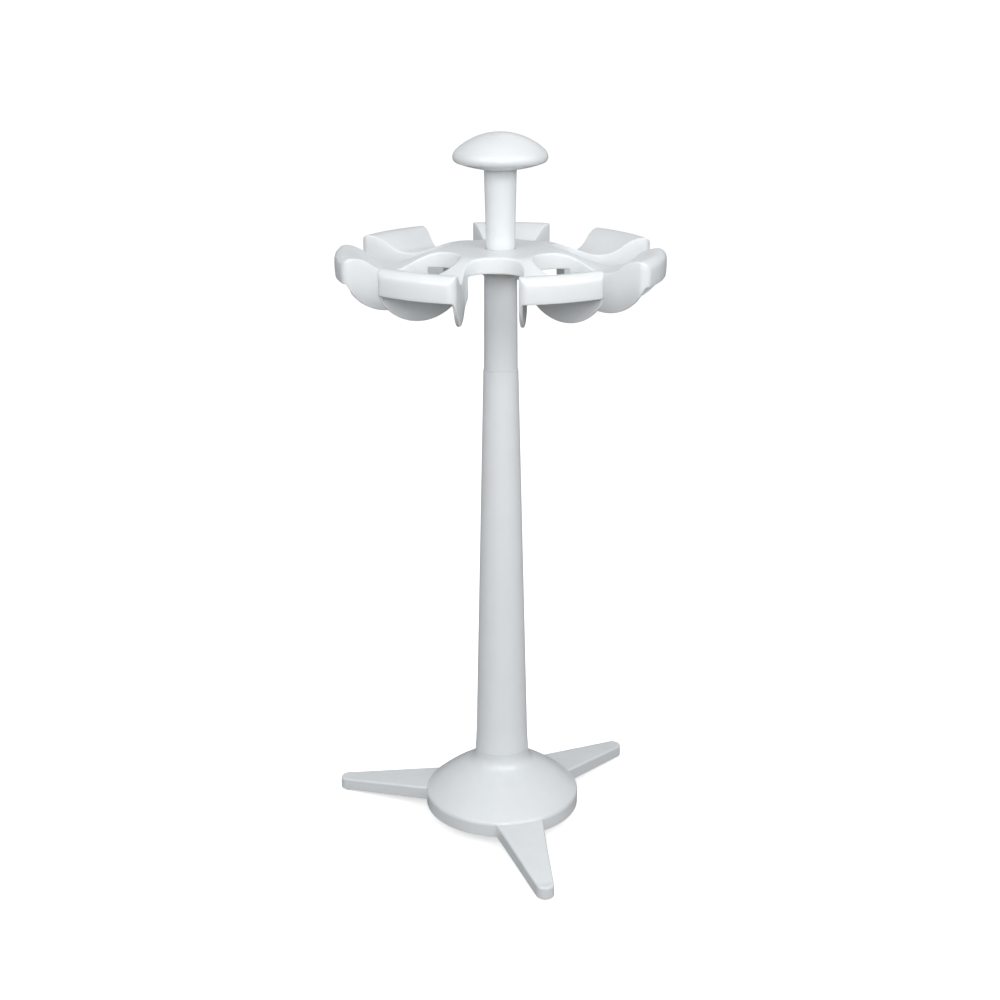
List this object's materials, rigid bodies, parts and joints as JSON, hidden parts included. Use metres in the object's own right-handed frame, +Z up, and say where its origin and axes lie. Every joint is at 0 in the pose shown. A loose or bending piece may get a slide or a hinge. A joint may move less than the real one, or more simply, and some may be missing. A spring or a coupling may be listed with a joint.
{
  "type": "rotating pipette stand",
  "caption": "Free-standing bench stand whose rotating carousel hangs hand-held pipettes upright round a tripod column with a carrying knob.",
  "frame": {"origin": "on the column's axis, in the plane of the base disc's lower rim, 6.4 mm above the bench that the feet stand on", "axes": "+Z up along the column's axis, which is also the carousel's axis; the front leg points 13.8 degrees from -Y towards +X"},
  "size_m": [0.1639, 0.1651, 0.35],
  "materials": {
    "base_plastic": "moulded, softly glossy",
    "column_plastic": "moulded, softly glossy",
    "carousel_plastic": "moulded, softly glossy",
    "handle_plastic": "moulded, softly glossy",
    "cap_plastic": "moulded, glossy",
    "pad_rubber": "matt grey",
    "ballast_steel": "dark passivated",
    "zinc_steel": "zinc plated",
    "spring_steel": "plain",
    "spindle_steel": "turned and polished",
    "bearing_plastic": "natural acetal",
    "insert_brass": "knurled"
  },
  "bodies": {
    "stand": {"base_moulding": "base_plastic", "foot_pad_front": "pad_rubber", "foot_pad_right": "pad_rubber", "foot_pad_left": "pad_rubber", "ballast_ring": "ballast_steel", "ballast_screws": "zinc_steel", "column_tube": "column_plastic", "column_neck": "column_plastic", "spindle": "spindle_steel", "tie_rod": "zinc_steel", "tie_rod_washer": "zinc_steel", "tie_rod_nut": "zinc_steel", "lower_thrust_washer": "bearing_plastic", "upper_thrust_washer": "bearing_plastic", "wave_washer": "spring_steel", "handle_stem": "handle_plastic", "stem_insert": "insert_brass", "knob_body": "handle_plastic", "knob_screw": "zinc_steel", "knob_cap": "cap_plastic"},
    "carousel": {"carousel_head": "carousel_plastic", "hub_bush": "bearing_plastic"}
  },
  "joints": [
    {"name": "carousel_spin", "type": "hinge", "parent": "stand", "child": "carousel", "pos_m": [0, 0, 0.2784], "axis": [0, 0, 1], "continuous": true}
  ]
}
